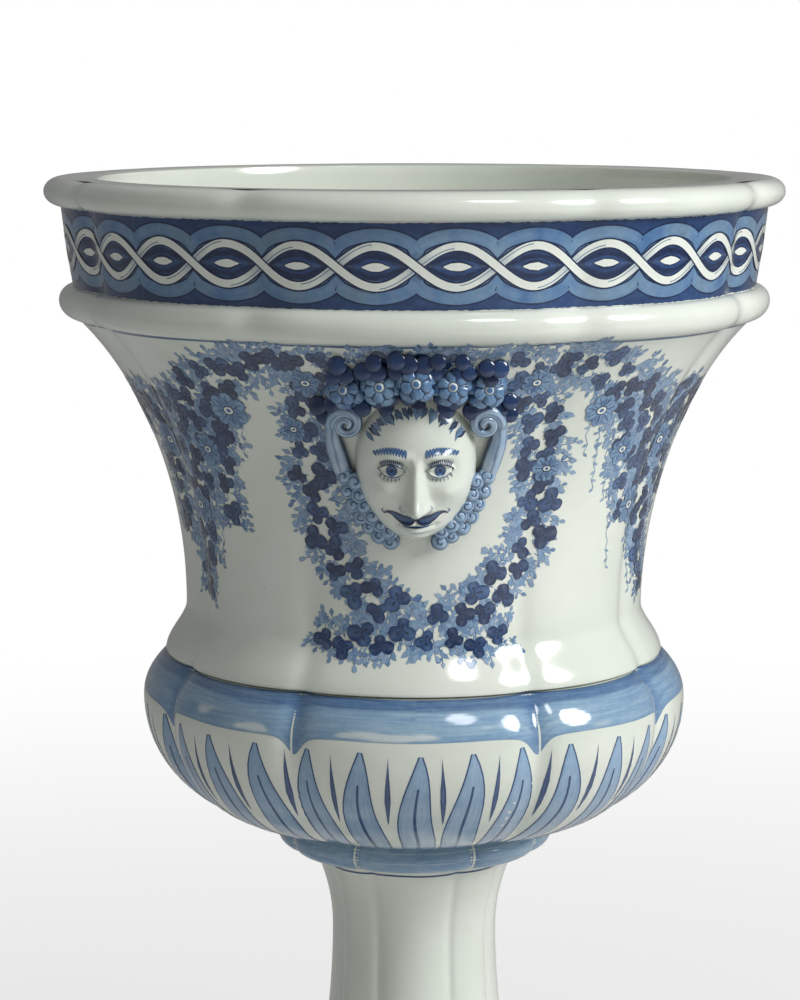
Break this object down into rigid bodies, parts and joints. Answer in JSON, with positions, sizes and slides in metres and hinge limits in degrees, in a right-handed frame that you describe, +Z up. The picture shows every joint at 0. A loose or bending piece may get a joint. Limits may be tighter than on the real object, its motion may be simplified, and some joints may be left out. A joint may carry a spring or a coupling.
{
  "type": "ceramic vase on stand",
  "caption": "Bell-shaped lobed ceramic planter with relief masks and blue painting, which lifts off a lobed ceramic pedestal.",
  "frame": {"origin": "centre of the stand's foot ring, on the floor", "axes": "+Z up, -Y towards the viewer and the front mask, +X to the right of the front mask as seen"},
  "size_m": [0.486, 0.486, 0.915],
  "materials": {
    "painted_ware": "glossy cream glaze with blue brush painting",
    "mask_glaze": "glossy cream glaze",
    "relief_glaze": "glossy glaze with a blue wash",
    "stand_glaze": "glossy cream glaze with blue mouldings",
    "cork": "agglomerated cork, matt",
    "steel": "zinc plated steel",
    "rubber": "black rubber sheet"
  },
  "bodies": {
    "stand": {"stand_cup": "stand_glaze", "stand_stem": "stand_glaze", "stand_foot": "stand_glaze", "seat_ring": "cork", "cup_gasket": "cork", "stem_gasket": "cork", "tie_rod": "steel", "rod_nuts": "steel", "rod_washers": "steel", "rod_cushions": "rubber"},
    "vase": {"vase_body": "painted_ware", "drain_plug": "cork", "mask_front_face": "mask_glaze", "mask_front_scrolls": "relief_glaze", "mask_front_beard": "relief_glaze", "mask_front_crown": "relief_glaze", "mask_back_face": "mask_glaze", "mask_back_scrolls": "relief_glaze", "mask_back_beard": "relief_glaze", "mask_back_crown": "relief_glaze"}
  },
  "joints": [
    {"name": "vase_lift", "type": "slide", "parent": "stand", "child": "vase", "axis": [0, 0, 1], "range_m": [0, 0.2]}
  ]
}
